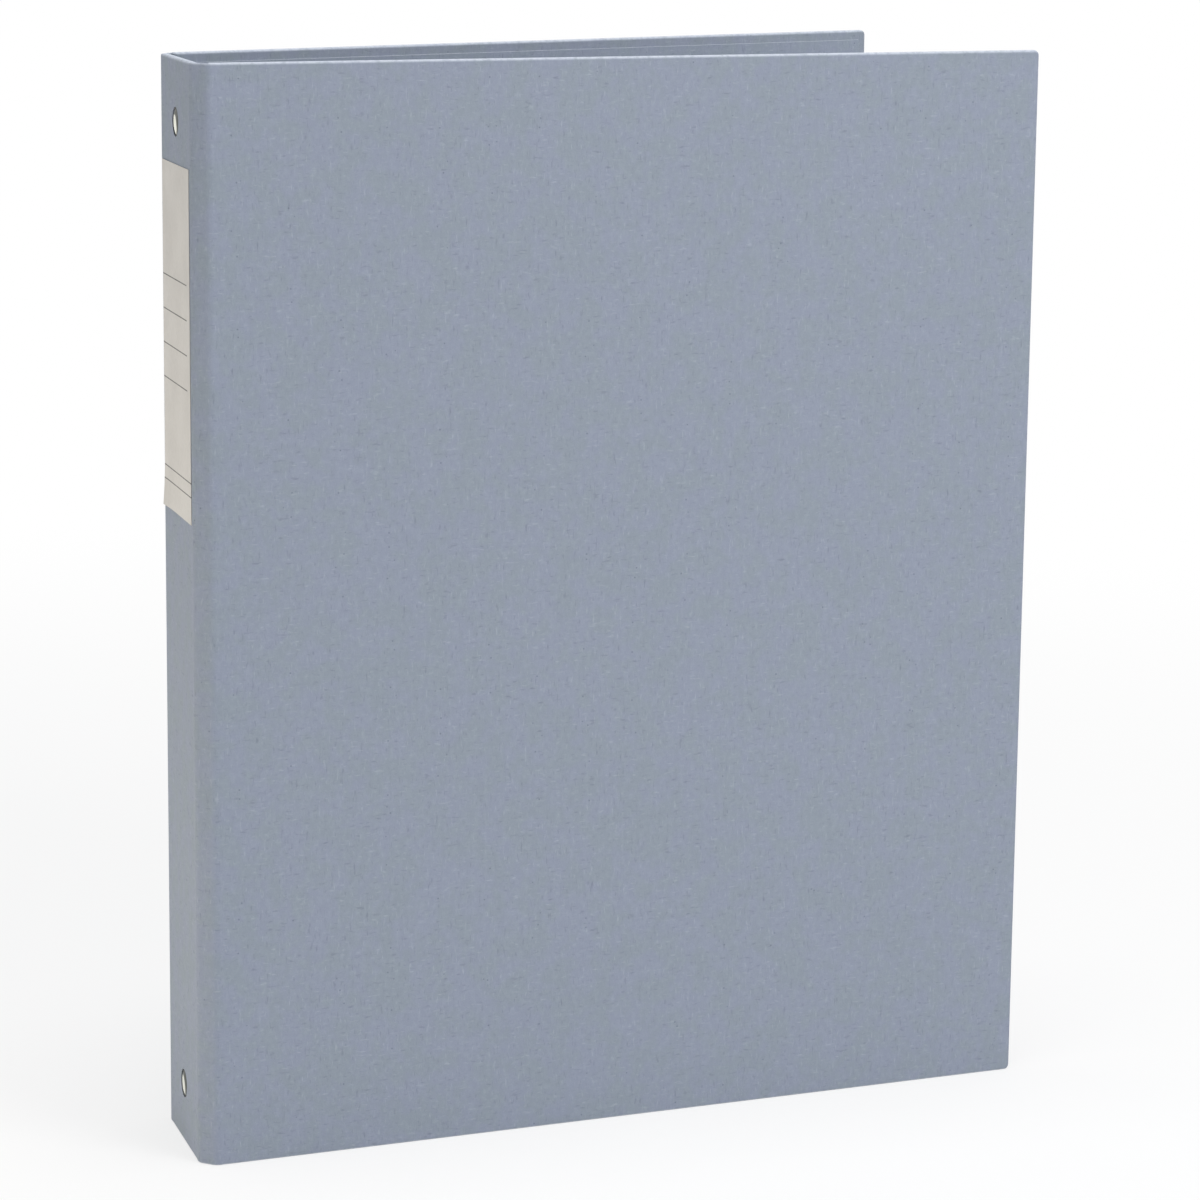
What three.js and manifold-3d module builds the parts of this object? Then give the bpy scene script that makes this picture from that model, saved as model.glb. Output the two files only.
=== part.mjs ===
// A4 ring binder with four round rings, standing upright and a little open.
// Millimetres, +Z up. The spine's outer face looks along -Y, the front cover is on the +X side
// and the origin is the middle of the flat bottom edge of the spine.
import * as THREE from "three";
import { ConvexGeometry } from "three/addons/geometries/ConvexGeometry.js";
import { mergeVertices } from "three/addons/utils/BufferGeometryUtils.js";
import Module from "manifold-3d";

const wasm = await Module();
wasm.setup();

// Covers and spine
const height = 320;
const coverWidth = 262;
const spineWidth = 42;
const hingeWidth = 6;
const hingeSlit = 0.4;
const frontAngle = THREE.MathUtils.degToRad(96);
const backAngle = THREE.MathUtils.degToRad(70);
const boardThickness = 1.75;
const boardSetback = 0.6;
const paper = 0.3;
const linerPaper = 0.2;
const glue = 0.08;
const edgeRadius = 0.8;
const cornerRadius = 1.6;
const turnIn = 15;
const linerMargin = 3.5;

// Spine label
const labelWidth = 38;
const labelHeight = 101;
const labelFromTop = 30;
const labelPaper = 0.15;
const labelCorner = 0.8;

// Housing of the ring mechanism
const sheetSteel = 0.6;
const housingWidth = 20;
const housingHeight = 6;
const housingSide = 2;
const housingMargin = 10;
const lipReach = 3;
const lipCorner = 0.9;
const padWidth = 15;
const padLength = 17;
const rampLength = 5;
const seatGap = 0.1;

// Blades that carry the rings
const bladeThickness = 0.9;
const bladeReach = 8.4;
const bladeHeel = 0.35;
const bladeMargin = 2;
const bladeSlope = THREE.MathUtils.degToRad(5);
const openTurn = THREE.MathUtils.degToRad(12);
const pivotFromMiddle = 8.6;
const pivotHeight = 1.3;

// Rings
const ringCount = 4;
const ringFromEnd = 40;
const ringInnerDiameter = 25;
const wireDiameter = 2.8;
const ringSink = 0.7;
const ringLeave = THREE.MathUtils.degToRad(-56);
const tailFromMiddle = 4.9;
const windowClearance = 0.5;
const tipLap = 1.2;
const tipGap = 0.15;
const spigotDiameter = 1.9;
const spigotEnd = 0.25;
const spigotClearance = 0.1;

// Rivets
const rivetFromTip = 8;
const rivetHeadDiameter = 8;
const rivetHeadThickness = 0.5;
const rivetCrown = 0.2;
const rivetSink = 0.25;
const rivetShankDiameter = 4;
const rivetWall = 0.6;
const rivetFlareDiameter = 6.2;
const rivetFlareThickness = 0.45;
const rivetClearance = 0.2;

// Levels through a panel, counted from its outer face
const boardLow = paper + glue;
const boardHigh = boardLow + boardThickness;
const linerLow = boardHigh + glue;
const wrapThickness = linerLow + paper;
const linerHigh = wrapThickness + glue;
const panelThickness = linerHigh + linerPaper;

// Places worked out from the sizes above
const mechanismBase = panelThickness + seatGap;
const stripLength = hingeWidth / 2 - hingeSlit;
const wireRadius = wireDiameter / 2;
const ringRadius = ringInnerDiameter / 2 + wireRadius;
const ringCentre = housingHeight - ringSink + ringRadius;
const tailReach = pivotFromMiddle - tailFromMiddle;
const ringPitch = (height - 2 * ringFromEnd) / (ringCount - 1);
const ringPlaces = Array.from({ length: ringCount }, (_, i) => ringFromEnd + i * ringPitch);
const rivetFromEnd = housingMargin + rivetFromTip;
const rivetPlaces = [rivetFromEnd, height - rivetFromEnd];
const overrun = 5;

const materials = {
  wrap: new THREE.MeshStandardMaterial({ color: 0x9aa3b1, roughness: 0.85, metalness: 0 }),
  liner: new THREE.MeshStandardMaterial({ color: 0x96a0ae, roughness: 0.9, metalness: 0 }),
  board: new THREE.MeshStandardMaterial({ color: 0x8f8b84, roughness: 0.95, metalness: 0 }),
  label: new THREE.MeshStandardMaterial({ color: 0xc9c5bf, roughness: 0.8, metalness: 0 }),
  nickel: new THREE.MeshStandardMaterial({ color: 0xc8c9c6, roughness: 0.25, metalness: 1 }),
  steel: new THREE.MeshStandardMaterial({ color: 0xaeb0b1, roughness: 0.35, metalness: 1 }),
  rivet: new THREE.MeshStandardMaterial({ color: 0xcfcfb4, roughness: 0.3, metalness: 1 }),
};

// Solids, and how they are joined and cut
function solid(geometry) {
  const bare = geometry.clone();
  bare.deleteAttribute("normal");
  bare.deleteAttribute("uv");
  const merged = mergeVertices(bare, 1e-4);
  const vertProperties = new Float32Array(merged.attributes.position.array);
  const triVerts = new Uint32Array(merged.index.array);
  return new wasm.Manifold(new wasm.Mesh({ numProp: 3, vertProperties, triVerts }));
}

function geometryOf(made) {
  const { vertProperties, triVerts } = made.getMesh();
  const geometry = new THREE.BufferGeometry();
  geometry.setAttribute("position", new THREE.BufferAttribute(vertProperties, 3));
  geometry.setIndex(new THREE.BufferAttribute(triVerts, 1));
  geometry.computeVertexNormals();
  return geometry;
}

function node(name, made, material) {
  const mesh = new THREE.Mesh(geometryOf(made), material.clone());
  mesh.name = name;
  return mesh;
}

function join(...solids) {
  return solids.reduce((all, next) => all.add(next));
}

function cut(body, ...tools) {
  return tools.reduce((left, tool) => left.subtract(tool), body);
}

function box(x0, x1, y0, y1, z0, z1) {
  const geometry = new THREE.BoxGeometry(Math.abs(x1 - x0), Math.abs(y1 - y0), Math.abs(z1 - z0));
  return solid(geometry.translate((x0 + x1) / 2, (y0 + y1) / 2, (z0 + z1) / 2));
}

// A profile in the XY plane, pulled up along Z.
function prism(outline, z0, z1) {
  const shape = new THREE.Shape(outline);
  const geometry = new THREE.ExtrudeGeometry(shape, { depth: z1 - z0, bevelEnabled: false });
  return solid(geometry.translate(0, 0, z0));
}

// A flat piece: its shape is drawn as X and Z, and it is as thick as y0 to y1.
function plate(shape, y0, y1, curveSegments = 8) {
  const geometry = new THREE.ExtrudeGeometry(shape, { depth: y1 - y0, bevelEnabled: false, curveSegments });
  return solid(geometry.rotateX(Math.PI / 2).translate(0, y1, 0));
}

function rod(diameter, x, y0, y1, z, sides = 24) {
  const geometry = new THREE.CylinderGeometry(diameter / 2, diameter / 2, y1 - y0, sides);
  return solid(geometry.translate(x, (y0 + y1) / 2, z));
}

function roundedShape(left, right, low, high, radius) {
  const shape = new THREE.Shape();
  shape.absarc(right - radius, high - radius, radius, 0, Math.PI / 2);
  shape.absarc(left + radius, high - radius, radius, Math.PI / 2, Math.PI);
  shape.absarc(left + radius, low + radius, radius, Math.PI, 1.5 * Math.PI);
  shape.absarc(right - radius, low + radius, radius, 1.5 * Math.PI, 2 * Math.PI);
  return shape;
}

// A slab with rounded edges: x along the panel, y through it, z up.
function roundedSlab(x0, x1, y0, y1, z0, z1, radius, corner) {
  const shape = roundedShape(x0 + radius, x1 - radius, z0 + radius, z1 - radius, corner - radius);
  const geometry = new THREE.ExtrudeGeometry(shape, {
    depth: Math.abs(y1 - y0) - 2 * radius,
    bevelThickness: radius,
    bevelSize: radius,
    bevelSegments: 3,
    curveSegments: 2,
  });
  return solid(geometry.rotateX(Math.PI / 2).translate(0, Math.max(y0, y1) - radius, 0));
}

// The closed outline of a folded sheet, with its thickness to the left of the points.
function sheetOutline(points, thickness) {
  const directions = points.slice(1).map((point, i) => point.clone().sub(points[i]).normalize());
  const offset = points.map((point, i) => {
    const before = directions[Math.max(i - 1, 0)];
    const after = directions[Math.min(i, directions.length - 1)];
    const along = before.clone().add(after).normalize();
    const left = new THREE.Vector2(-along.y, along.x);
    return point.clone().addScaledVector(left, thickness / along.dot(before));
  });
  return [...points, ...offset.reverse()];
}

// Panels
// A hinged edge starts at its crease: x runs into the panel from there, and y towards the inside.
function hingedEdge(at, into, bend) {
  return { at, into, bend };
}

const spinePanel = {
  start: -spineWidth / 2,
  end: spineWidth / 2,
  side: 1,
  edges: [hingedEdge(spineWidth / 2, -1, frontAngle / 2), hingedEdge(-spineWidth / 2, 1, backAngle / 2)],
};

// side says on which side of the cover, along its own y, the rings are.
function coverPanel(side, angle) {
  return { start: 0, end: coverWidth, side, freeEnd: true, edges: [hingedEdge(0, 1, angle / 2)] };
}

function place(panel, edge, outline) {
  return outline.map((point) => new THREE.Vector2(edge.at + edge.into * point.x, panel.side * point.y));
}

// Where a panel ends when it is drawn in by an inset: a free edge takes one inset, a hinged edge the other.
function panelEnd(panel, freeInset, hingedInset) {
  return panel.freeEnd ? panel.end - freeInset : panel.end - hingedInset;
}

// A layer whose rounded edges are drawn in from the panel's outline, cut straight at the hinged edges.
function layer(panel, inset, low, high, setback) {
  const slab = roundedSlab(
    panel.start - overrun,
    panelEnd(panel, inset, -overrun),
    panel.side * low,
    panel.side * high,
    inset,
    height - inset,
    edgeRadius - inset,
    cornerRadius - inset,
  );
  const kept = box(panel.start + setback, panelEnd(panel, -overrun, setback), -overrun, overrun, 0, height);
  return slab.intersect(kept);
}

function field(panel, hingedInset, freeInset, low, high, endInset) {
  const start = panel.start + hingedInset;
  const end = panelEnd(panel, freeInset, hingedInset);
  return box(start, end, panel.side * low, panel.side * high, endInset, height - endInset);
}

// How the hinge strip leaves a crease, and the side of it that faces the inside.
function stripDirection(bend) {
  return new THREE.Vector2(-Math.cos(bend), Math.sin(bend));
}

function stripNormal(bend) {
  return new THREE.Vector2(Math.sin(bend), Math.cos(bend));
}

function wrapFlap(bend) {
  const tip = stripDirection(bend).multiplyScalar(stripLength);
  return sheetOutline([tip, new THREE.Vector2(0, 0), new THREE.Vector2(2 * boardSetback, 0)], paper);
}

// The liner lies on the hinge strip, climbs the board's edge and lies down on the turned-in paper.
function linerFlap(bend) {
  const foot = paper + glue;
  const wall = boardSetback - glue;
  const tip = stripNormal(bend).multiplyScalar(foot).addScaledVector(stripDirection(bend), stripLength);
  const run = [
    tip,
    new THREE.Vector2(foot * Math.tan(bend / 2), foot),
    new THREE.Vector2(wall, foot),
    new THREE.Vector2(wall, linerHigh + linerPaper / 2),
  ];
  return sheetOutline(run, linerPaper);
}

// The covering paper: an outer sheet with hinge flaps, folded round the board and turned in.
function wrap(panel) {
  const outside = layer(panel, 0, 0, wrapThickness, 0);
  const inside = layer(panel, paper, paper, linerLow, -overrun);
  const window = field(panel, -overrun, turnIn, boardHigh, wrapThickness + overrun, turnIn);
  const [low, high] = [panel.side * paper, panel.side * (wrapThickness + overrun)];
  const creases = panel.edges.map(({ at, into }) =>
    box(at - into * overrun, at + into * boardSetback, low, high, -overrun, height + overrun),
  );
  const flaps = panel.edges.map((edge) => prism(place(panel, edge, wrapFlap(edge.bend)), 0, height));
  return join(cut(outside, inside, window, ...creases), ...flaps);
}

function board(panel) {
  return layer(panel, boardLow, boardLow, boardHigh, boardSetback);
}

// The inner paper: it sinks onto the bare board inside the turned-in edges.
function liner(panel) {
  const fold = boardSetback - glue - linerPaper / 2;
  const windowEdge = turnIn + glue;
  const pocketEdge = windowEdge + linerPaper;
  const rim = field(panel, fold, linerMargin, linerHigh, panelThickness, linerMargin);
  const tray = field(panel, fold, windowEdge, linerLow, panelThickness, windowEdge);
  const pocket = field(panel, 0, pocketEdge, linerLow + linerPaper, panelThickness + overrun, pocketEdge);
  const flaps = panel.edges.map((edge) =>
    prism(place(panel, edge, linerFlap(edge.bend)), linerMargin, height - linerMargin),
  );
  return cut(join(rim, tray, ...flaps), pocket);
}

function rivetHoles(diameter, y0, y1) {
  return join(...rivetPlaces.map((z) => rod(diameter, 0, y0, y1, z)));
}

function spineNodes() {
  const seat = rivetSink + rivetHeadThickness + seatGap;
  const head = rivetHoles(rivetHeadDiameter + 2 * rivetClearance, -overrun, seat);
  const shank = rivetHoles(rivetShankDiameter + 2 * rivetClearance, -overrun, panelThickness + overrun);
  return [
    node("spine_wrap", cut(wrap(spinePanel), head, shank), materials.wrap),
    node("spine_board", cut(board(spinePanel), head, shank), materials.board),
    node("spine_liner", cut(liner(spinePanel), shank), materials.liner),
    node("spine_label", spineLabel(), materials.label),
  ];
}

function spineLabel() {
  const top = height - labelFromTop;
  const shape = roundedShape(-labelWidth / 2, labelWidth / 2, top - labelHeight, top, labelCorner);
  return plate(shape, -glue - labelPaper, -glue, 2);
}

function cover(name, side, angle) {
  const panel = coverPanel(side, angle);
  const group = new THREE.Group();
  const crease = new THREE.Vector3((side * spineWidth) / 2, 0, 0);
  const alongStrip = new THREE.Vector3(side * Math.cos(angle / 2), Math.sin(angle / 2), 0);
  group.position.copy(crease).addScaledVector(alongStrip, hingeWidth);
  group.rotation.z = side > 0 ? angle : Math.PI - angle;
  group.add(node(`${name}_wrap`, wrap(panel), materials.wrap));
  group.add(node(`${name}_board`, board(panel), materials.board));
  group.add(node(`${name}_liner`, liner(panel), materials.liner));
  return group;
}

// Ring mechanism: y starts at the face that rests on the spine's liner
function archOutline(halfWidth, rise, corner, low) {
  const arch = rise - housingSide;
  const radius = (arch * arch + halfWidth * halfWidth) / (2 * arch);
  const half = Math.asin(halfWidth / radius);
  const shape = new THREE.Shape();
  shape.absarc(halfWidth - corner, low + corner, corner, -Math.PI / 2, 0);
  shape.absarc(0, rise - radius, radius, Math.PI / 2 - half, Math.PI / 2 + half);
  shape.absarc(corner - halfWidth, low + corner, corner, Math.PI, 1.5 * Math.PI);
  return shape.getPoints(4);
}

function hull(sections) {
  const points = sections.flatMap(({ outline, z }) => outline.map(({ x, y }) => new THREE.Vector3(x, y, z)));
  return solid(new ConvexGeometry(points));
}

function rectangle(halfWidth, low, high) {
  return [
    new THREE.Vector2(-halfWidth, low),
    new THREE.Vector2(halfWidth, low),
    new THREE.Vector2(halfWidth, high),
    new THREE.Vector2(-halfWidth, high),
  ];
}

const archStart = housingMargin + padLength + rampLength;
const archOutside = archOutline(housingWidth / 2, housingHeight, lipCorner, 0);
const archInside = archOutline(housingWidth / 2 - sheetSteel, housingHeight - sheetSteel, lipCorner, -overrun);

// The flat pad at one end with its rivet hole, and the ramp from it up to the arch.
function padAndRamp(end) {
  const z = (distance) => (end > 0 ? height - distance : distance);
  const padInner = housingMargin + padLength;
  const tip = padWidth / 2;
  const shape = new THREE.Shape();
  shape.absarc(0, z(housingMargin + tip), tip, end > 0 ? 0 : Math.PI, end > 0 ? Math.PI : 2 * Math.PI);
  shape.lineTo(-end * tip, z(padInner + rampLength / 2));
  shape.lineTo(end * tip, z(padInner + rampLength / 2));
  const hole = rod(rivetShankDiameter + 2 * rivetClearance, 0, -overrun, overrun, z(rivetFromEnd));
  const pad = cut(plate(shape, 0, sheetSteel), hole);
  const outer = hull([
    { outline: rectangle(tip, 0, sheetSteel), z: z(padInner) },
    { outline: archOutside, z: z(archStart) },
  ]);
  const inner = hull([
    { outline: rectangle(tip - sheetSteel, -overrun, 0), z: z(padInner + sheetSteel) },
    { outline: archInside, z: z(archStart + sheetSteel) },
  ]);
  return cut(join(pad, outer), inner);
}

function ringWindows() {
  const travel = (housingHeight - pivotHeight) * Math.sin(openTurn);
  const inner = tailFromMiddle - wireRadius - windowClearance;
  const outer = tailFromMiddle + wireRadius + travel + windowClearance;
  const half = wireRadius + windowClearance;
  const window = (side, z) => box(side * inner, side * outer, housingSide, housingHeight + overrun, z - half, z + half);
  return join(...ringPlaces.flatMap((z) => [window(1, z), window(-1, z)]));
}

// Pressed sheet: an arch with its edges rolled under, open below, flat at both ends.
function housing() {
  const outside = prism(archOutside, archStart, height - archStart);
  const lip = (side) =>
    box((side * housingWidth) / 2, side * (housingWidth / 2 - lipReach), 0, sheetSteel, archStart, height - archStart);
  const lips = outside.intersect(join(lip(1), lip(-1)));
  const arch = cut(outside, prism(archInside, archStart - overrun, height - archStart + overrun));
  return cut(join(arch, lips, padAndRamp(-1), padAndRamp(1)), ringWindows());
}

// A blade turns about its outer edge, which lies in the rolled lip. It is drawn flat, about its pivot.
function blade(side) {
  const ends = archStart + bladeMargin;
  const strip = box(side * bladeHeel, -side * bladeReach, -bladeThickness / 2, bladeThickness / 2, ends, height - ends);
  const holes = ringPlaces.map((z) =>
    rod(spigotDiameter + 2 * spigotClearance, -side * tailReach, -bladeThickness, bladeThickness, z, 12),
  );
  return cut(strip, ...holes);
}

// Half a ring, from the tongue at its tip round to the tail, which comes down square onto the blade.
function halfRingPath() {
  const start = Math.PI / 2 + Math.asin(tipLap / ringRadius);
  const circle = new THREE.EllipseCurve(0, ringCentre, ringRadius, ringRadius, start, ringLeave, true);
  const leave = circle.getPoint(1);
  const heading = new THREE.Vector2(Math.sin(ringLeave), -Math.cos(ringLeave));
  const up = new THREE.Vector2(-Math.sin(bladeSlope), Math.cos(bladeSlope));
  const foot = new THREE.Vector2(pivotFromMiddle, pivotHeight)
    .addScaledVector(new THREE.Vector2(up.y, -up.x), -tailReach)
    .addScaledVector(up, bladeThickness / 2 + seatGap);
  const toLeave = leave.clone().sub(foot);
  const rise = toLeave.cross(heading) / up.cross(heading);
  const knee = foot.clone().addScaledVector(up, rise);
  const tail = new THREE.QuadraticBezierCurve(leave, knee, foot);
  return [...circle.getPoints(18), ...tail.getPoints(6).slice(1)];
}

function spigot(side) {
  const low = -bladeThickness / 2 - spigotEnd;
  const high = bladeThickness / 2 + seatGap + wireRadius;
  const geometry = new THREE.CylinderGeometry(spigotDiameter / 2, spigotDiameter / 2, high - low, 12);
  geometry.translate(-side * tailReach, (low + high) / 2, 0);
  geometry.rotateZ(side * bladeSlope);
  return solid(geometry.translate(side * pivotFromMiddle, pivotHeight, 0));
}

function halfRing(side) {
  const points = halfRingPath().map(({ x, y }) => new THREE.Vector3(side * x, y, 0));
  const wire = new THREE.Shape().absarc(0, 0, wireRadius, 0, 2 * Math.PI);
  const extrudePath = new THREE.CatmullRomCurve3(points);
  const bar = solid(new THREE.ExtrudeGeometry(wire, { extrudePath, steps: 26, curveSegments: 5 }));
  const top = ringCentre + ringRadius;
  const lapCut = box(
    -side * wireDiameter,
    side * (tipLap + tipGap),
    top - wireDiameter,
    top + wireDiameter,
    (side * tipGap) / 2,
    -side * wireDiameter,
  );
  return join(cut(bar, lapCut), spigot(side));
}

function jaw(name, side) {
  const group = new THREE.Group();
  const strip = node(`${name}_blade`, blade(side), materials.steel);
  strip.position.set(side * pivotFromMiddle, pivotHeight, 0);
  strip.rotation.z = side * bladeSlope;
  group.add(strip);
  const half = halfRing(side);
  ringPlaces.forEach((z, i) => {
    const ring = node(`${name}_ring_${i + 1}`, half, materials.nickel);
    ring.position.z = z;
    group.add(ring);
  });
  return group;
}

// A tubular rivet: its domed head lies in the spine's outer face and its end is rolled over the pad.
function rivet() {
  const head = rivetHeadDiameter / 2;
  const shank = rivetShankDiameter / 2;
  const flare = rivetFlareDiameter / 2;
  const seat = rivetSink + rivetHeadThickness;
  const pad = mechanismBase + sheetSteel + seatGap;
  const end = pad + rivetFlareThickness;
  const bore = shank - rivetWall;
  const profile = [
    [0, rivetSink - rivetCrown],
    [head * 0.5, rivetSink - rivetCrown * 0.8],
    [head * 0.85, rivetSink - rivetCrown * 0.35],
    [head, rivetSink + rivetCrown * 0.5],
    [head, seat],
    [shank, seat],
    [shank, pad],
    [flare, pad],
    [flare, pad + rivetFlareThickness * 0.5],
    [shank + rivetWall, end],
    [bore, end],
    [bore, seat],
    [0, seat],
  ];
  return solid(new THREE.LatheGeometry(profile.map(([x, y]) => new THREE.Vector2(x, y)), 24));
}

function rivets() {
  return ["bottom", "top"].map((name, i) => {
    const mesh = node(`rivet_${name}`, rivet(), materials.rivet);
    mesh.position.z = rivetPlaces[i];
    return mesh;
  });
}

const mechanism = new THREE.Group();
mechanism.position.y = mechanismBase;
mechanism.add(node("ring_housing", housing(), materials.nickel), jaw("front", 1), jaw("back", -1));

// The spine's bottom edge is centred on the origin.
const binder = new THREE.Group();
binder.position.y = -wrapThickness / 2;
binder.add(...spineNodes(), ...rivets(), mechanism);
binder.add(cover("front", 1, frontAngle), cover("back", -1, backAngle));
export default binder;
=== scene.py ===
"""Dresses the A4 ring binder: paper-covered boards, soft hinge strips, a spine label and nickel rings."""
from collections import namedtuple
import math

import bmesh
import bpy
from mathutils import Matrix, Vector


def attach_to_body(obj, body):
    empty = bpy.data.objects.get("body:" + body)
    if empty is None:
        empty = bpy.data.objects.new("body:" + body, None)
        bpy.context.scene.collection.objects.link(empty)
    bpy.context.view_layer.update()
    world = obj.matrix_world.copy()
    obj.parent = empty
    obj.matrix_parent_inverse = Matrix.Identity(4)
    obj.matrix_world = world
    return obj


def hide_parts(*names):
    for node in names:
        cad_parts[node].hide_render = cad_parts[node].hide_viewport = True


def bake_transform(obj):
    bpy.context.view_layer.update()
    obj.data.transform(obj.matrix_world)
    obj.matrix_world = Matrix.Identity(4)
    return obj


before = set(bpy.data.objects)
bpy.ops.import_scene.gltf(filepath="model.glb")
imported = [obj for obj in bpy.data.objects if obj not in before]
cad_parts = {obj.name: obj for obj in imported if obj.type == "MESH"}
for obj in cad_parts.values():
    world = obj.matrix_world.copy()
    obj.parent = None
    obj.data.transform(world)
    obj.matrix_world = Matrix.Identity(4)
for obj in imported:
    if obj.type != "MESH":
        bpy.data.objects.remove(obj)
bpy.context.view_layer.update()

# Sizes in metres, the same as the frame's
MM = 0.001
HEIGHT = 320 * MM
COVER_WIDTH = 262 * MM
SPINE_WIDTH = 42 * MM
HINGE_WIDTH = 6 * MM
FRONT_ANGLE = math.radians(96)
BACK_ANGLE = math.radians(70)
WRAP_THICKNESS = 2.51 * MM
PANEL_THICKNESS = 2.79 * MM
SPINE_FACE = -WRAP_THICKNESS / 2
WELD_DISTANCE = 0.002 * MM

# Angles in degrees from which an edge looks sharp
LABEL_SHARP = 35
STEEL_SHARP = 40
ROUNDED_SHARP = 50

# Boards in their covering paper, and the inner papers on them
EDGE_RADIUS = 0.8 * MM
EDGE_STEPS = 7
CORNER_RADIUS = 1.6 * MM
CORNER_STEPS = 5
CREASE_SETBACK = 0.25 * MM
CREASE_RADIUS = 1.2 * MM
CREASE_CORNER = 0.6 * MM
SMALLEST_CREASE_CORNER = 0.05 * MM
TURN_IN = 15 * MM
LINING_MARGIN = 3 * MM
LINING_SUNK = 0.1 * MM
LINING_EDGE = 0.06 * MM
LINING_CORNER = 0.3 * MM
LINING_CORNER_STEPS = 3
SMALLEST_LINING_CORNER = 0.02 * MM
DIP_DEPTH = 0.14 * MM
DIP_STEP = 0.4 * MM
DIP_SHARES = (0.25, 0.75, 1)
HINGED_DIP = 0.08

# Hinge strips of covering paper
STRIP_THICKNESS = 0.6 * MM
STRIP_FILLET = 3.1 * MM
STRIP_FILLET_STEPS = 6
STRIP_OVERLAP = 2.6 * MM
STRIP_NOTCH = 0.15 * MM
STRIP_ROUND = 0.5 * MM
STRIP_PROUD = 0.015 * MM
STRIP_TUCK = 0.06 * MM
BEND_SHARES = [0.35 + 0.05 * step for step in range(7)]

# Folds of the inner paper in the hinges
FOLD_THICKNESS = 0.2 * MM
FOLD_FILLET = 0.7 * MM
FOLD_FILLET_STEPS = 4
FOLD_OVERLAP = 1.1 * MM
FOLD_SUNK = 0.01 * MM
FOLD_TUCK = 0.02 * MM
FOLD_ROUND = 0.2 * MM
FOLD_EDGE_STEPS = 6
FOLD_MIDDLE_STEPS = 8

# Spine label
LABEL_WIDTH = 38 * MM
LABEL_HEIGHT = 101 * MM
LABEL_TOP = 290 * MM
LABEL_PAPER = 0.15 * MM
LABEL_GLUE = 0.08 * MM
LABEL_CURL = 0.6 * MM
CURL_REACH = 16 * MM
LABEL_COLUMNS = 24
LABEL_ROWS = 60
RULED_LINES = [HEIGHT - down * MM for down in (63, 73, 83, 93)]
STRIP_LINES = [HEIGHT - down * MM for down in (119, 123)]
RULED_WIDTH = 0.35 * MM
RULED_END = 15 * MM

# Housing of the ring mechanism
MECHANISM_BASE = 2.89 * MM + SPINE_FACE
SHEET_STEEL = 0.6 * MM
HOUSING_HALF = 10 * MM
HOUSING_HEIGHT = 6 * MM
HOUSING_SIDE = 2 * MM
HOUSING_MARGIN = 10 * MM
LIP_REACH = 3 * MM
LIP_CORNER = 0.9 * MM
LIP_STEPS = 4
PAD_HALF = 7.5 * MM
PAD_LENGTH = 17 * MM
PAD_STEPS = 12
SMALLEST_PAD_ROW = 0.05 * MM
RAMP_LENGTH = 5 * MM
RAMP_OVERLAP = 0.6 * MM
RAMP_STEPS = 8
WINDOW_INNER = 3.0 * MM
WINDOW_OUTER = 7.78 * MM
WINDOW_HALF = 1.9 * MM
PLAIN_COLUMNS = [x * MM for x in (0, 1, 2, 4.2, 5.4, 6.6, 8.4, 9, 9.5, 9.85)]

# Rings and the blades that they stand on
RING_PLACES = [place * MM for place in (40, 120, 200, 280)]
WIRE_RADIUS = 1.4 * MM
WIRE_SIDES = 20
RING_RADIUS = 13.9 * MM
RING_CENTRE = MECHANISM_BASE + 19.2 * MM
RING_LEAVE = math.radians(-56)
RING_STEPS = 48
KNEE_STEPS = 14
TIP_LAP = 1.2 * MM
TIP_GAP = 0.15 * MM
PIVOT = Vector((8.6 * MM, MECHANISM_BASE + 1.3 * MM))
TAIL_REACH = 3.7 * MM
BLADE_HALF = 0.45 * MM
BLADE_SLOPE = math.radians(5)
SEAT_GAP = 0.1 * MM

# Rivets: rows of radius and depth in mm, the depth counted from the spine's face or from the pad
RIVET_PLACES = [18 * MM, 302 * MM]
RIVET_SIDES = 48
RIVET_SEAT_RADIUS = 4.2 * MM
RIVET_SEAT_DEPTH = 0.85 * MM
HEAD_SECTION = (
    (0, -0.2), (1.2, -0.17), (2.4, -0.06), (3.2, 0.08), (3.7, 0.24),
    (3.95, 0.42), (4, 0.6), (3.9, 0.75), (2, 0.75),
)
ROLLED_SECTION = ((2, 0.1), (3, 0.1), (3.12, 0.25), (2.9, 0.45), (2.4, 0.55), (1.9, 0.45), (1.5, 0.1))
BORE_SECTION = ((1.4, 1.2), (0, 1.2))
# Painted shade on the rivet heads: a dark ring round a point shifted off the middle, so that it reaches
# furthest in above and towards the front cover, where the seat's edge shades the head; where it starts and
# ends, and how ragged its edge is
SHADE_SHIFT_ACROSS = 1.3 * MM
SHADE_SHIFT_UP = 1.0 * MM
SHADE_START = 2.7 * MM
SHADE_END = 3.4 * MM
SHADE_RAGGED = 1.2 * MM

# How fine the patterns are, in marks to the metre, or in marks along x, y and z
CLOUD_SCALE = 130
GRAIN_SCALE = 2600
PULP_SCALE = 620
WAVE_SCALE = 16
EDGE_SCALE = 1800
BOARD_SCALE = 900
LABEL_SCALE = 1500
LABEL_CLOUD_SCALE = 45
DRAWN_SCALE = 5200
TARNISH_SCALE = 160
PIT_SCALE = 1500
RIVET_WEAR_SCALE = 420
FIBRES_UPRIGHT = (1300, 1300, 360)
FIBRES_LEVEL = (370, 370, 1300)

# How much a pattern is squeezed along x, y and z
PULP_STRETCH = (1.0, 1.0, 0.7)
BOARD_STRETCH = (1.0, 1.0, 0.4)
LABEL_STRETCH = (1.0, 1.0, 0.5)
DRAWN_STRETCH = (1.0, 1.0, 0.08)

# How deep the surfaces are marked
PAPER_DEPTH = 0.045 * MM
WAVE_DEPTH = 0.7 * MM
EDGE_DEPTH = 0.05 * MM
BOARD_DEPTH = 0.1 * MM
LABEL_DEPTH = 0.03 * MM
DRAWN_DEPTH = 0.006 * MM
RIVET_WEAR_DEPTH = 0.05 * MM
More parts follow.
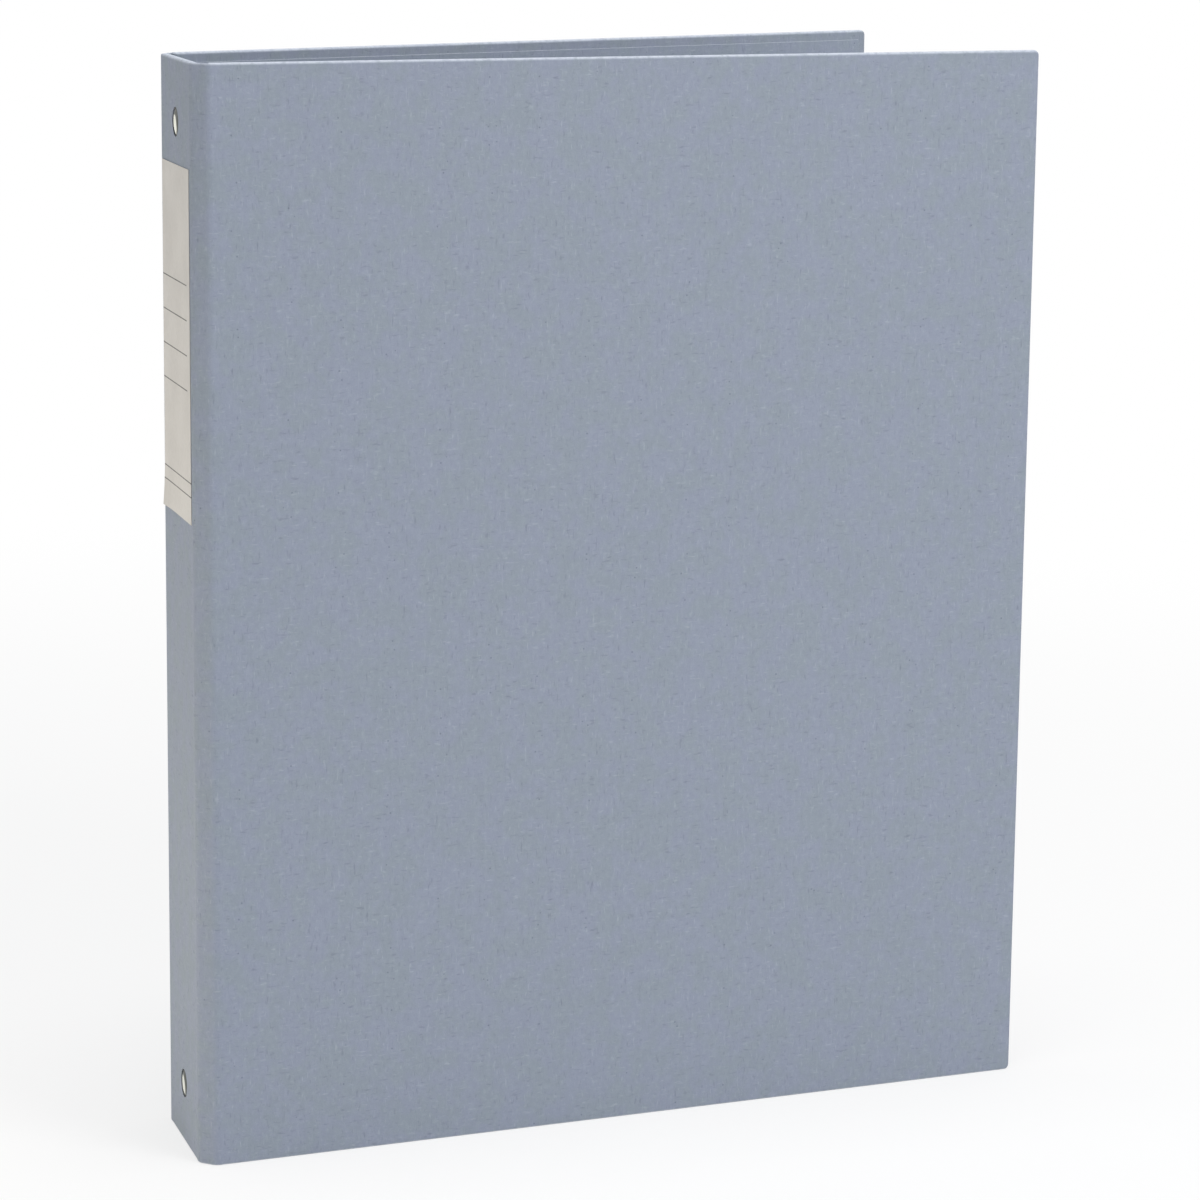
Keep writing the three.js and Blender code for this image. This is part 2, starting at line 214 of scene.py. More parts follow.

# How far from the top the paper is painted pale, as a painted highlight where light from above falls on the
# rounded top edge together with rubbed wear, how far from the foot it is rubbed pale, and from where both
# bands are palest
HIGHLIGHT_AND_WEAR_TOP = 0.9 * MM
RUBBED_FOOT = 0.7 * MM
PALEST_WITHIN = 0.1 * MM

# Colours, with a pair of tones where a pattern runs from one to the other
PAPER_DARK = (0.1, 0.12, 0.165, 1)
PAPER_PALE = (0.6, 0.64, 0.71, 1)
WRAP_TONES = (0.3, 0.344, 0.402, 1), (0.308, 0.343, 0.434, 1)
LINING_TONES = (0.308, 0.356, 0.424, 1), (0.316, 0.355, 0.45, 1)
EDGE_TONES = (0.42, 0.46, 0.52, 1), (0.62, 0.65, 0.7, 1)
BOARD_TONES = (0.22, 0.21, 0.19, 1), (0.34, 0.32, 0.29, 1)
LABEL_TONES = (0.64, 0.62, 0.6, 1), (0.7, 0.68, 0.66, 1)
LABEL_FIBRE = (0.4, 0.38, 0.34, 1)
INK = (0.045, 0.045, 0.05, 1)
NICKEL_TONES = (0.74, 0.73, 0.7, 1), (0.6, 0.58, 0.53, 1)
STEEL_TONES = (0.6, 0.6, 0.58, 1), (0.47, 0.46, 0.43, 1)
PIT = (0.2, 0.19, 0.17, 1)
RIVET_TONES = (0.8, 0.8, 0.68, 1), (0.62, 0.63, 0.44, 1)
# Painted shade that darkens the rims of the rivet heads
RIVET_PAINTED_SHADE = (0.035, 0.04, 0.035, 1)

# Camera and light
CAMERA_PLACE = Vector((1.1617, -0.2299, 0.3931))
CAMERA_YAW = math.radians(-72.961)
CAMERA_PITCH = math.radians(10.954)
CAMERA_ROLL = math.radians(0.598)
CAMERA_LENS = 124.2
SENSOR_WIDTH = 36
NEAREST_SEEN = 0.01
FLOOR_COLOR = (0.9, 0.9, 0.9, 1)
FLOOR_REACH = 12
GLOW_NEAR = 0.2
GLOW_FAR = 1.1
GLOW_LEAST = 0.7
AMBIENT_COLOR = (0.97, 0.985, 1.0, 1)
AMBIENT_STRENGTH = 0.48
WHITE = (1, 1, 1, 1)
FILL_COLOR = (1, 0.88, 0.64)


# Materials
class Tree:
    """A node tree with short calls for its nodes."""

    def __init__(self, node_tree):
        self.nodes = node_tree.nodes
        self.links = node_tree.links

    def add(self, kind, **settings):
        made = self.nodes.new(kind)
        for key, value in settings.items():
            setattr(made, key, value)
        return made

    def feed(self, socket, value):
        if isinstance(value, bpy.types.NodeSocket):
            self.links.new(value, socket)
        else:
            socket.default_value = value

    def ramp(self, value, low, high, start=0.0, end=1.0):
        made = self.add("ShaderNodeMapRange", clamp=True, interpolation_type="SMOOTHSTEP")
        self.feed(made.inputs["Value"], value)
        self.feed(made.inputs["From Min"], low)
        self.feed(made.inputs["From Max"], high)
        self.feed(made.inputs["To Min"], start)
        self.feed(made.inputs["To Max"], end)
        return made.outputs["Result"]

    def math(self, operation, a, b=0.0):
        made = self.add("ShaderNodeMath", operation=operation)
        self.feed(made.inputs[0], a)
        self.feed(made.inputs[1], b)
        return made.outputs["Value"]

    def direct_rays(self):
        """One for a ray that looks straight at something, sees it mirrored or sees it through something."""
        rays = self.add("ShaderNodeLightPath")
        seen = self.math("MAXIMUM", rays.outputs["Is Camera Ray"], rays.outputs["Is Glossy Ray"])
        return self.math("MAXIMUM", seen, rays.outputs["Is Transmission Ray"])

    def blend_shaders(self, share, usual, shown, out):
        mix = self.add("ShaderNodeMixShader")
        self.feed(mix.inputs["Fac"], share)
        self.feed(mix.inputs[1], usual)
        self.feed(mix.inputs[2], shown)
        self.feed(out.inputs["Surface"], mix.outputs["Shader"])


class Shader(Tree):
    """A principled material whose patterns lie in the piece's own space."""

    def __init__(self, name):
        self.material = bpy.data.materials.new(name)
        self.material.use_nodes = True
        super().__init__(self.material.node_tree)
        self.bsdf = self.nodes["Principled BSDF"]
        self.place = self.add("ShaderNodeTexCoord").outputs["Object"]

    def stretched(self, scale):
        mapping = self.add("ShaderNodeMapping")
        self.feed(mapping.inputs["Vector"], self.place)
        self.feed(mapping.inputs["Scale"], scale)
        return mapping.outputs["Vector"]

    def axes(self):
        split = self.add("ShaderNodeSeparateXYZ")
        self.feed(split.inputs["Vector"], self.place)
        return split.outputs["X"], split.outputs["Z"]

    def noise(self, scale, detail, roughness, vector=None):
        made = self.add("ShaderNodeTexNoise")
        self.feed(made.inputs["Vector"], vector or self.place)
        self.feed(made.inputs["Scale"], scale)
        self.feed(made.inputs["Detail"], detail)
        self.feed(made.inputs["Roughness"], roughness)
        return made.outputs["Fac"]

    def mix(self, amount, a, b):
        made = self.add("ShaderNodeMix", data_type="RGBA")
        self.feed(made.inputs["Factor"], amount)
        self.feed(made.inputs["A"], a)
        self.feed(made.inputs["B"], b)
        return made.outputs["Result"]

    def flecks(self, scale, size, share):
        """Sparse marks: of all the cells of a fine grid, a share holds one of that size."""
        cells = self.add("ShaderNodeTexVoronoi", feature="F1")
        self.feed(cells.inputs["Vector"], self.stretched((scale, scale, scale)))
        self.feed(cells.inputs["Scale"], 1.0)
        mark = self.ramp(cells.outputs["Distance"], size, size * 0.55)
        split = self.add("ShaderNodeSeparateColor")
        self.feed(split.inputs["Color"], cells.outputs["Color"])
        chosen = self.math("LESS_THAN", split.outputs["Red"], share)
        return self.math("MULTIPLY", mark, chosen)

    def bump(self, height, distance, normal=None):
        made = self.add("ShaderNodeBump")
        self.feed(made.inputs["Distance"], distance)
        self.feed(made.inputs["Height"], height)
        if normal is not None:
            self.feed(made.inputs["Normal"], normal)
        return made.outputs["Normal"]

    def done(self, color, roughness, normal, **sockets):
        self.feed(self.bsdf.inputs["Base Color"], color)
        self.feed(self.bsdf.inputs["Roughness"], roughness)
        self.feed(self.bsdf.inputs["Normal"], normal)
        for key, value in sockets.items():
            self.bsdf.inputs[key.replace("_", " ")].default_value = value
        return self.material


def paper_fibres(s):
    """Short fibres lying both ways: how dark and how pale each place is."""
    upright = s.noise(1.0, 1.6, 0.5, s.stretched(FIBRES_UPRIGHT))
    level = s.noise(1.0, 1.6, 0.5, s.stretched(FIBRES_LEVEL))
    dark = s.math("MAXIMUM", s.ramp(upright, 0.6, 0.86), s.ramp(level, 0.6, 0.86))
    pale = s.math("MAXIMUM", s.ramp(upright, 0.4, 0.14), s.ramp(level, 0.4, 0.14))
    return dark, pale


def highlight_and_rubbed_ends(s, pulp):
    """Where the paper is painted pale along the top and foot of the binder: a painted highlight of the
    light from above together with rubbed wear along the top, rubbed wear along the foot.
    """
    up = s.axes()[1]
    # Painted highlight along the top, where light from above falls on the rounded edge, mixed with rubbed
    # wear
    top = s.ramp(up, HEIGHT - HIGHLIGHT_AND_WEAR_TOP, HEIGHT - PALEST_WITHIN)
    foot = s.ramp(up, RUBBED_FOOT, PALEST_WITHIN)
    return s.math("MULTIPLY", s.math("MAXIMUM", top, foot), s.ramp(pulp, 0.3, 0.6, 0.35, 0.75))


def covering_paper(name, tones):
    """Uncoated recycled paper: cloudy tint, fine grain, fibres and a few dark specks."""
    s = Shader(name)
    cloud = s.noise(CLOUD_SCALE, 5, 0.62)
    grain = s.noise(GRAIN_SCALE, 2, 0.7)
    pulp = s.noise(PULP_SCALE, 3, 0.65, s.stretched(PULP_STRETCH))
    dark, pale = paper_fibres(s)
    specks = s.flecks(PULP_SCALE, 0.2, 0.03)
    color = s.mix(s.ramp(cloud, 0.38, 0.62), *tones)
    color = s.mix(s.ramp(grain, 0.2, 0.8, 0.0, 0.12), color, PAPER_DARK)
    color = s.mix(s.ramp(pulp, 0.35, 0.8, 0.0, 0.1), color, PAPER_PALE)
    color = s.mix(s.math("MULTIPLY", dark, 0.36), color, PAPER_DARK)
    color = s.mix(s.math("MULTIPLY", pale, 0.22), color, PAPER_PALE)
    color = s.mix(s.math("MULTIPLY", specks, 0.5), color, PAPER_DARK)
    # Paler along the top and foot: a painted highlight with rubbed wear at the top, rubbed wear at the foot
    color = s.mix(highlight_and_rubbed_ends(s, pulp), color, PAPER_PALE)
    height = s.math("ADD", s.math("MULTIPLY", grain, 0.6), s.math("MULTIPLY", pulp, 0.8))
    height = s.math("ADD", height, s.math("MULTIPLY", pale, 0.6))
    height = s.math("SUBTRACT", height, s.math("MULTIPLY", dark, 0.4))
    normal = s.bump(height, PAPER_DEPTH)
    normal = s.bump(s.noise(WAVE_SCALE, 2, 0.4), WAVE_DEPTH, normal)
    roughness = s.ramp(pulp, 0.2, 0.8, 0.72, 0.86)
    return s.done(color, roughness, normal, Specular_IOR_Level=0.35)


def cut_edge():
    """The pale fibres at the cut edge of the inner paper."""
    s = Shader("cut_paper_edge")
    fibre = s.noise(EDGE_SCALE, 3, 0.6)
    color = s.mix(s.ramp(fibre, 0.3, 0.7), *EDGE_TONES)
    return s.done(color, 0.9, s.bump(fibre, EDGE_DEPTH), Specular_IOR_Level=0.25)


def grey_board():
    """Pressed board of mixed grey fibres."""
    s = Shader("grey_board")
    fibre = s.noise(BOARD_SCALE, 4, 0.7, s.stretched(BOARD_STRETCH))
    color = s.mix(s.ramp(fibre, 0.3, 0.7), *BOARD_TONES)
    return s.done(color, 0.95, s.bump(fibre, BOARD_DEPTH), Specular_IOR_Level=0.2)


def ruled_ink(s):
    """Four lines that end short of the label's side, and a narrow strip between two full lines."""
    across, up = s.axes()
    inside = s.math("LESS_THAN", across, RULED_END)
    ink = 0.0
    for place in RULED_LINES + STRIP_LINES:
        offset = s.math("ABSOLUTE", s.math("SUBTRACT", up, place))
        line = s.ramp(offset, RULED_WIDTH * 0.6, RULED_WIDTH * 0.4)
        if place in RULED_LINES:
            line = s.math("MULTIPLY", line, inside)
        ink = s.math("MAXIMUM", line, ink)
    return ink


def label_paper():
    """Warm grey label stock with worn printed lines."""
    s = Shader("label_paper")
    fibre = s.noise(LABEL_SCALE, 3, 0.65, s.stretched(LABEL_STRETCH))
    cloud = s.noise(LABEL_CLOUD_SCALE, 3, 0.5)
    color = s.mix(s.ramp(cloud, 0.3, 0.7), *LABEL_TONES)
    color = s.mix(s.ramp(fibre, 0.35, 0.75, 0.0, 0.16), color, LABEL_FIBRE)
    wear = s.ramp(fibre, 0.25, 0.6, 0.62, 0.9)
    color = s.mix(s.math("MULTIPLY", ruled_ink(s), wear), color, INK)
    return s.done(color, 0.7, s.bump(fibre, LABEL_DEPTH), Specular_IOR_Level=0.4)


def plated(name, tones, rough):
    """Plated steel: faint drawing marks, cloudy tarnish and tiny pits."""
    s = Shader(name)
    marks = s.noise(DRAWN_SCALE, 2, 0.6, s.stretched(DRAWN_STRETCH))
    cloud = s.noise(TARNISH_SCALE, 4, 0.6)
    pits = s.flecks(PIT_SCALE, 0.22, 0.04)
    color = s.mix(s.ramp(cloud, 0.42, 0.72, 0.0, 0.55), *tones)
    color = s.mix(s.math("MULTIPLY", pits, 0.5), color, PIT)
    drawn = s.ramp(marks, 0.25, 0.75, rough - 0.05, rough + 0.08)
    roughness = s.math("ADD", drawn, s.ramp(cloud, 0.4, 0.8, 0.0, 0.07))
    normal = s.bump(s.math("SUBTRACT", marks, pits), DRAWN_DEPTH)
    return s.done(color, roughness, normal, Metallic=1.0)


def shade_ring_distance(s):
    """How far a place on a rivet's head is from a point beside its middle, which sets where the painted
    shade lies.
    """
    low, high = RIVET_PLACES
    across, up = s.axes()
    along = s.math("SUBTRACT", s.math("MODULO", up, high - low), low)
    sideways = s.math("POWER", s.math("ADD", across, SHADE_SHIFT_ACROSS), 2)
    upward = s.math("POWER", s.math("ADD", along, SHADE_SHIFT_UP), 2)
    return s.math("SQRT", s.math("ADD", sideways, upward))


def rivet_plate():
    """Thin yellowish plating with painted shade round its rim, widest above and towards the front cover,
    where the edge of its seat shades the head.
    """
    s = Shader("rivet_plate")
    cloud = s.noise(RIVET_WEAR_SCALE, 4, 0.6)
    ragged = s.math("MULTIPLY", s.math("SUBTRACT", cloud, 0.5), SHADE_RAGGED)
    # Painted shade: the head goes nearly black towards its rim, most above and towards the front cover, in
    # place of the shade of its seat
    rim = s.ramp(s.math("ADD", shade_ring_distance(s), ragged), SHADE_START, SHADE_END)
    color = s.mix(s.ramp(cloud, 0.4, 0.7, 0.0, 0.6), *RIVET_TONES)
    color = s.mix(s.math("MULTIPLY", rim, 0.95), color, RIVET_PAINTED_SHADE)
    roughness = s.math("ADD", s.ramp(cloud, 0.3, 0.8, 0.16, 0.3), s.math("MULTIPLY", rim, 0.2))
    return s.done(color, roughness, s.bump(cloud, RIVET_WEAR_DEPTH), Metallic=1.0)


WRAP = covering_paper("covering_paper", WRAP_TONES)
LINING = covering_paper("lining_paper", LINING_TONES)
EDGE = cut_edge()
LABEL = label_paper()
BOARD = grey_board()
NICKEL = plated("nickel_plate", NICKEL_TONES, 0.17)
STEEL = plated("steel_strip", STEEL_TONES, 0.3)
RIVET = rivet_plate()


# Meshes
def placed(name, data):
    """A new object in the scene, with that mesh, lamp or camera."""
    made = bpy.data.objects.new(name, data)
    bpy.context.scene.collection.objects.link(made)
    return made


def mesh_piece(name, verts, faces, material, matrix=None):
    """A closed mesh with its faces turned outwards."""
    mesh = bpy.data.meshes.new(name)
    mesh.from_pydata([tuple(v) for v in verts], [], faces)
    if matrix is not None:
        mesh.transform(matrix)
    sheet = bmesh.new()
    sheet.from_mesh(mesh)
    bmesh.ops.remove_doubles(sheet, verts=sheet.verts, dist=WELD_DISTANCE)
    bmesh.ops.recalc_face_normals(sheet, faces=sheet.faces)
    sheet.to_mesh(mesh)
    sheet.free()
    mesh.polygons.foreach_set("use_smooth", [True] * len(mesh.polygons))
    mesh.materials.append(material)
    return placed(name, mesh)


def loft_faces(rows, count, closed=True):
    """Faces between rows of points that all have the same count."""
    last = count if closed else count - 1
    faces = []
    for row in range(rows - 1):
        here, above = row * count, (row + 1) * count
        for i in range(last):
            j = (i + 1) % count
            faces.append((here + i, here + j, above + j, above + i))
    return faces


def loft(name, loops, material, matrix=None):
    """A skin over loops of points, closed at both ends."""
    count = len(loops[0])
    verts = [point for loop in loops for point in loop]
    faces = loft_faces(len(loops), count)
    faces.append(tuple(range(count)))
    faces.append(tuple(range((len(loops) - 1) * count, len(loops) * count)))
    return mesh_piece(name, verts, faces, material, matrix)


def circle(radius, y, z, sides):
    """Points of an upright circle that faces along y."""
    turns = [2 * math.pi * k / sides for k in range(sides)]
    return [Vector((radius * math.cos(turn), y, z + radius * math.sin(turn))) for turn in turns]


def weighted(piece):
    """Flat faces stay flat and rounded edges turn smoothly."""
    normals = piece.modifiers.new("normals", "WEIGHTED_NORMAL")
    normals.keep_sharp = False
    normals.weight = 90
    return piece


def sharpened(piece, degrees):
    """Edges look sharp where their faces turn by more than that angle."""
    piece.data.set_sharp_from_angle(angle=math.radians(degrees))
    return piece


def apply_modifiers(piece):
    """Makes what the modifiers show the piece's own mesh."""
    depsgraph = bpy.context.evaluated_depsgraph_get()
    piece.data = bpy.data.meshes.new_from_object(piece.evaluated_get(depsgraph))
    piece.modifiers.clear()


def carve(piece, cutter):
    """Takes the cutter's space out of the piece and removes the cutter."""
    cut = piece.modifiers.new("cut", "BOOLEAN")
    cut.operation = "DIFFERENCE"
    cut.solver = "EXACT"
    cut.object = cutter
    apply_modifiers(piece)
    bpy.data.objects.remove(cutter)


def arc_steps(count):
    """Angles from none to a right angle."""
    return [math.pi / 2 * step / count for step in range(count + 1)]


def headings(line):
    """The way that a line of points runs at each of them."""
    last = len(line) - 1
    return [line[min(i + 1, last)] - line[max(i - 1, 0)] for i in range(len(line))]


def soft_corner(start, corner, end, share):
    """A place on the curve from start to end that leans towards the corner."""
    return start * (1 - share) ** 2 + corner * 2 * share * (1 - share) + end * share ** 2


def outline(x0, x1, z0, z1, radii, y, steps):
    """A rounded rectangle of points at one level through a panel, with a radius for each side's corners."""
    left, right = radii
    centres = (
        (x1 - right, z1 - right, right),
        (x0 + left, z1 - left, left),
        (x0 + left, z0 + left, left),
        (x1 - right, z0 + right, right),
    )
    points = []
    for quarter, (x, z, radius) in enumerate(centres):
        for step in range(steps + 1):
            turn = (quarter + step / steps) * math.pi / 2
            points.append(Vector((x + radius * math.cos(turn), y, z + radius * math.sin(turn))))
    return points


def attach(piece, body, slot, *nodes):
    """Lets the piece ride on a body in place of the frame's nodes."""
    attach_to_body(piece, body)
    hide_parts(*nodes)


# Covers and spine
SPINE_MATRIX = Matrix.Translation((0, SPINE_FACE, 0))


def cover_matrix(side, angle):
    """Sets a cover that lies along x, its outside down, into its place at rest."""
    crease = Vector((side * SPINE_WIDTH / 2, SPINE_FACE, 0))
    along = Vector((side * math.cos(angle / 2), math.sin(angle / 2), 0))
    turn = angle if side > 0 else math.pi - angle
    flip = Matrix.Diagonal((1, side, 1, 1))
    return Matrix.Translation(crease + along * HINGE_WIDTH) @ Matrix.Rotation(turn, 4, "Z") @ flip


def edge_inset(level, radius):
    """How far a rounded edge is drawn in at some depth below the panel's face."""
    depth = max(radius - level, 0)
    return radius - math.sqrt(max(radius ** 2 - depth ** 2, 0))


def covered_board(name, x0, x1, free_end, matrix):
    """The board in its covering paper: the paper is drawn tight round every edge."""
    depths = [CREASE_RADIUS * (1 - math.cos(turn)) for turn in arc_steps(EDGE_STEPS)]
    levels = [(depth, depth) for depth in depths]
    levels += [(WRAP_THICKNESS - depth, depth) for depth in reversed(depths)]
    loops = []
    for level, depth in levels:
        free = edge_inset(depth, EDGE_RADIUS)
        hinged = edge_inset(depth, CREASE_RADIUS)
        hinged_corner = max(CREASE_CORNER - free, SMALLEST_CREASE_CORNER)
        right, right_corner = (free, CORNER_RADIUS - free) if free_end else (hinged, hinged_corner)
        radii = (hinged_corner, right_corner)
        loops.append(outline(x0 + hinged, x1 - right, free, HEIGHT - free, radii, level, CORNER_STEPS))
    return loft(name, loops, WRAP, matrix)


def lining(name, x0, x1, free_end, matrix):
    """The inner paper, which dips a little where the turned-in covering ends underneath it."""
    step = TURN_IN - LINING_MARGIN
    profile = [
        (0, WRAP_THICKNESS - LINING_SUNK),
        (0, PANEL_THICKNESS - LINING_EDGE),
        (LINING_EDGE, PANEL_THICKNESS),
        (step, PANEL_THICKNESS),
    ]
    for count, share in enumerate(DIP_SHARES, start=1):
        profile.append((step + count * DIP_STEP, PANEL_THICKNESS - share * DIP_DEPTH))
    loops = []
    for inset, level in profile:
        # A hinged edge has no turned-in paper, so the dip starts right beside it
        hinged = inset * HINGED_DIP
        right = x1 - (inset if free_end else hinged)
        radii = [max(LINING_CORNER - inset, SMALLEST_LINING_CORNER)] * 2
        low = LINING_MARGIN + inset
        loops.append(outline(x0 + hinged, right, low, HEIGHT - low, radii, level, LINING_CORNER_STEPS))
    piece = loft(name, loops, LINING, matrix)
    piece.data.materials.append(EDGE)
    for face in piece.data.polygons[:2 * len(loops[0])]:
        face.material_index = 1
    return weighted(piece)


def fillet(before, corner, after, radius, steps):
    """Points of the soft curve that rounds a corner."""
    into = (corner - before).normalized()
    out = (after - corner).normalized()
    reach = radius * math.tan(into.angle(out) / 2)
    start, end = corner - into * reach, corner + out * reach
    return [soft_corner(start, corner, end, step / steps) for step in range(steps + 1)]


# A panel beside a hinge strip: its outer edge there, the way into it, the way to its inside and the
# way along the strip to the other panel
Panel = namedtuple("Panel", "edge into inward onward")


class Hinge:
    """The places and directions of one hinge strip in the rest pose."""

    def __init__(self, side, angle):
        self.side = side
        self.crease = Vector((side * SPINE_WIDTH / 2, SPINE_FACE))
        self.along = Vector((side * math.cos(angle / 2), math.sin(angle / 2)))
        self.corner = self.crease + self.along * HINGE_WIDTH
        self.inner = Vector((-side * self.along.y, side * self.along.x))
        into = Vector((side * math.cos(angle), math.sin(angle)))
        inward = Vector((-side * into.y, side * into.x))
        self.spine = Panel(self.crease, Vector((-side, 0)), Vector((0, 1)), self.along)
        self.cover = Panel(self.corner, into, inward, -self.along)

    def sheet(self, name, line, thickness, material, levels):
        """A sheet along a line of points seen from inside, with its back towards the outside."""
        back = []
        for point, ahead in zip(line, headings(line)):
            outward = Vector((ahead.y, -ahead.x)).normalized() * self.side
            back.append(point + outward * thickness)
        middle = [(a + b) / 2 for a, b in zip(line, back)]
        loops = []
        for z, fullness in levels:
            front = [m.lerp(a, fullness) for m, a in zip(middle, line)]
            rear = [m.lerp(b, fullness) for m, b in zip(middle, back)]
            loops.append([Vector((p.x, p.y, z)) for p in front + rear[::-1]])
        return sharpened(loft(name, loops, material), ROUNDED_SHARP)

    def bend(self, piece, body, slot):
        """Bakes the piece's place into its mesh."""
        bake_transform(piece)


def rounded_levels(low, high, rounding):
    """Heights from low to high, with how full the sheet is there: its ends are rounded."""
    ends = ((0, 0.3), (0.12, 0.62), (0.4, 0.9), (1, 1))
    rising = [(low + way * rounding, full) for way, full in ends]
    return rising + [(high - way * rounding, full) for way, full in reversed(ends)]


def hinge_strip(name, hinge, body):
    """The covering paper, rounded softly from the spine over to the cover."""
    spine, cover = hinge.spine, hinge.cover
    first = spine.edge - spine.inward * STRIP_PROUD
    second = cover.edge - cover.inward * STRIP_PROUD
    before, after = first + spine.into * STRIP_OVERLAP, second + cover.into * STRIP_OVERLAP
    outer = [spine.edge + spine.into * STRIP_OVERLAP + spine.inward * STRIP_TUCK]
    outer += fillet(before, first, second, STRIP_FILLET, STRIP_FILLET_STEPS)
    outer += [first.lerp(second, share) for share in BEND_SHARES]
    outer += fillet(first, second, after, STRIP_FILLET, STRIP_FILLET_STEPS)
    outer.append(cover.edge + cover.into * STRIP_OVERLAP + cover.inward * STRIP_TUCK)
    inner = []
    for point, ahead in zip(outer, headings(outer)):
        inward = Vector((-ahead.y, ahead.x)).normalized() * hinge.side
        inner.append(point + inward * STRIP_THICKNESS)
    levels = rounded_levels(STRIP_NOTCH, HEIGHT - STRIP_NOTCH, STRIP_ROUND)
    piece = hinge.sheet(f"{name}_hinge_strip", inner, STRIP_THICKNESS, WRAP, levels)
    hinge.bend(piece, body, "wrap")


def meet(place, heading, other, other_heading):
    """Where two lines cross."""
    reach = (other - place).cross(other_heading) / heading.cross(other_heading)
    return place + heading * reach


def fold_half(hinge, panel):
    """From the panel's inner face over its edge and down to the hinge strip."""
    radius = PANEL_THICKNESS - FOLD_SUNK - WRAP_THICKNESS + CREASE_RADIUS
    centre = panel.edge + panel.into * (CREASE_SETBACK + CREASE_RADIUS)
    centre += panel.inward * (WRAP_THICKNESS - CREASE_RADIUS)
    half = [centre + panel.into * FOLD_OVERLAP + panel.inward * (radius - FOLD_TUCK)]
    for turn in arc_steps(FOLD_EDGE_STEPS):
        half.append(centre - panel.into * radius * math.sin(turn) + panel.inward * radius * math.cos(turn))
    strip = hinge.crease + hinge.inner * (STRIP_THICKNESS + FOLD_THICKNESS)
    foot = meet(half[-1], -panel.inward, strip, hinge.along)
    return half + fillet(half[-1], foot, foot + panel.onward * MM, FOLD_FILLET, FOLD_FILLET_STEPS)


def lining_fold(name, hinge, body):
    """The inner paper in the hinge: over one board's edge, along the strip and up the other edge."""
    first, second = fold_half(hinge, hinge.spine), fold_half(hinge, hinge.cover)
    shares = [step / FOLD_MIDDLE_STEPS for step in range(1, FOLD_MIDDLE_STEPS)]
    middle = [first[-1].lerp(second[-1], share) for share in shares]
    line = first + middle + second[::-1]
    levels = rounded_levels(LINING_MARGIN, HEIGHT - LINING_MARGIN, FOLD_ROUND)
    piece = hinge.sheet(f"{name}_lining_fold", line, FOLD_THICKNESS, LINING, levels)
    hinge.bend(piece, body, "liner")


def cut_rivet_seats(board):
    """The two round seats that the rivet heads lie in."""
    for z in RIVET_PLACES:
        levels = (SPINE_FACE - MM, SPINE_FACE + RIVET_SEAT_DEPTH)
        loops = [circle(RIVET_SEAT_RADIUS, y, z, RIVET_SIDES) for y in levels]
        carve(board, loft("cutter", loops, WRAP))


def covers():
    """Both covers with their hinges, and then the spine."""
    lining_start = CREASE_SETBACK + CREASE_RADIUS
    for name, side, angle in (("front", 1, FRONT_ANGLE), ("back", -1, BACK_ANGLE)):
        matrix = cover_matrix(side, angle)
        body = f"{name}_cover"
        board = covered_board(f"{name}_covered_board", CREASE_SETBACK, COVER_WIDTH, True, matrix)
        attach(weighted(board), body, "wrap", f"{name}_wrap")
        sheet = lining(f"{name}_lining", lining_start, COVER_WIDTH - LINING_MARGIN, True, matrix)
        attach(sheet, body, "liner", f"{name}_liner")
        hinge = Hinge(side, angle)
        hinge_strip(name, hinge, body)
        lining_fold(name, hinge, body)
    half = SPINE_WIDTH / 2 - CREASE_SETBACK
    board = covered_board("spine_covered_board", -half, half, False, SPINE_MATRIX)
    cut_rivet_seats(board)
    attach(weighted(board), "spine", "wrap", "spine_wrap")
    half = SPINE_WIDTH / 2 - lining_start
    sheet = lining("spine_lining", -half, half, False, SPINE_MATRIX)
    attach(sheet, "spine", "liner", "spine_liner")


def label_layer(lift):
    """One face of the label, whose lower corner towards the back cover stands off the spine a little."""
    points = []
    for row in range(LABEL_ROWS + 1):
        for column in range(LABEL_COLUMNS + 1):
            x = (column / LABEL_COLUMNS - 0.5) * LABEL_WIDTH
            z = LABEL_TOP - LABEL_HEIGHT * (1 - row / LABEL_ROWS)
            from_corner = (x + LABEL_WIDTH / 2) + (z - LABEL_TOP + LABEL_HEIGHT)
            curl = LABEL_CURL * max(0, 1 - from_corner / CURL_REACH) ** 2
            points.append(Vector((x, SPINE_FACE - LABEL_GLUE - lift - curl, z)))
    return points


def label_rim():
    """The points round one face of the label, in order."""
    count = LABEL_COLUMNS + 1
    rim = list(range(count))
    rim += [row * count + LABEL_COLUMNS for row in range(1, LABEL_ROWS + 1)]
    rim += [LABEL_ROWS * count + column for column in range(LABEL_COLUMNS - 1, -1, -1)]
    return rim + [row * count for row in range(LABEL_ROWS - 1, 0, -1)]


def label():
    """The paper label: two faces and the edge between them."""
    verts = label_layer(0) + label_layer(LABEL_PAPER)
    per_layer = len(verts) // 2
    inner = loft_faces(LABEL_ROWS + 1, LABEL_COLUMNS + 1, False)
    faces = inner + [tuple(per_layer + i for i in face) for face in inner]
    rim = label_rim()
    for near, far in zip(rim, rim[1:] + rim[:1]):
        faces.append((near, far, per_layer + far, per_layer + near))
    piece = sharpened(mesh_piece("label_sheet", verts, faces, LABEL), LABEL_SHARP)
    attach(piece, "spine", "label", "spine_label")


# Ring mechanism
def arch_level(x):
    rise = HOUSING_HEIGHT - HOUSING_SIDE
    radius = (rise ** 2 + HOUSING_HALF ** 2) / (2 * rise)
    return HOUSING_HEIGHT - radius + math.sqrt(max(radius ** 2 - x ** 2, 0))


def arch_columns():
    """Across the arch, with a column at each side of a ring's slot."""
    half = sorted(PLAIN_COLUMNS + [WINDOW_INNER, WINDOW_OUTER])
    return [-x for x in reversed(half[1:])] + half


